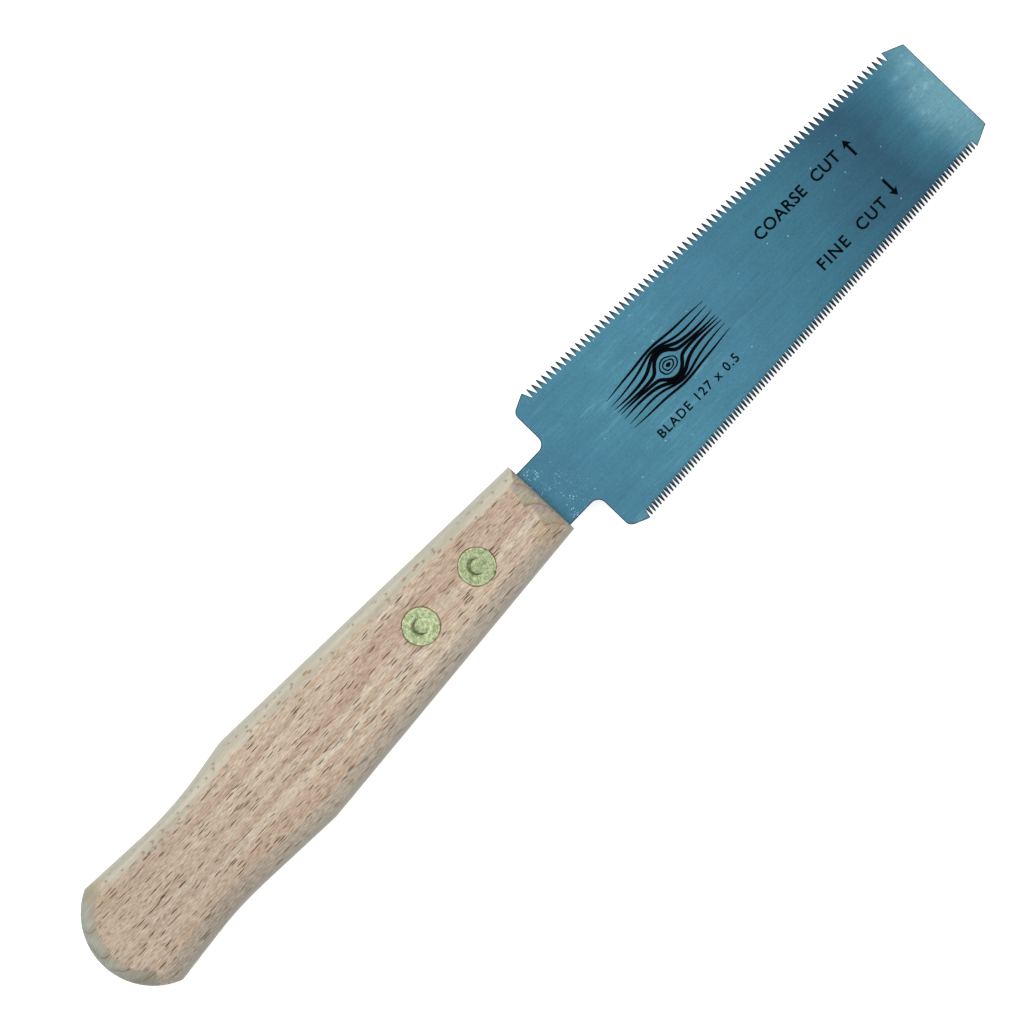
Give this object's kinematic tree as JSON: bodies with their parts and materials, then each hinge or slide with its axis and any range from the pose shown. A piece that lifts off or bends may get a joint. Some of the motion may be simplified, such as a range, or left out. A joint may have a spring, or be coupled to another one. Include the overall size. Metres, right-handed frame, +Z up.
{
  "type": "japanese pull saw",
  "caption": "Small double-edged pull saw: a thin tapering blade with coarse and fine toothed edges, riveted in the sawn slot of a shaped beech handle.",
  "frame": {"origin": "on the handle's lower flat face, on its centreline and midway between the two rivets, close to the saw's balance point", "axes": "+X along the handle towards the tip of the blade, +Y towards the coarse-toothed edge, +Z up, square to the flat of the blade; the saw lies on its side"},
  "size_m": [0.288, 0.0422, 0.019],
  "materials": {
    "beech": "bare sanded beech, pinkish tan with short dark flecks along the grain",
    "blade_steel": "thin hardened steel with a blue-green sheen, brushed along its length, teeth darker at their edges",
    "rivet_brass": "pale greenish brass, hammered and lightly mottled"
  },
  "bodies": {
    "root": {"handle": "beech", "blade": "blade_steel", "rivet_front": "rivet_brass", "rivet_rear": "rivet_brass", "rivet_washer_front": "rivet_brass", "rivet_washer_rear": "rivet_brass"}
  },
  "joints": []
}
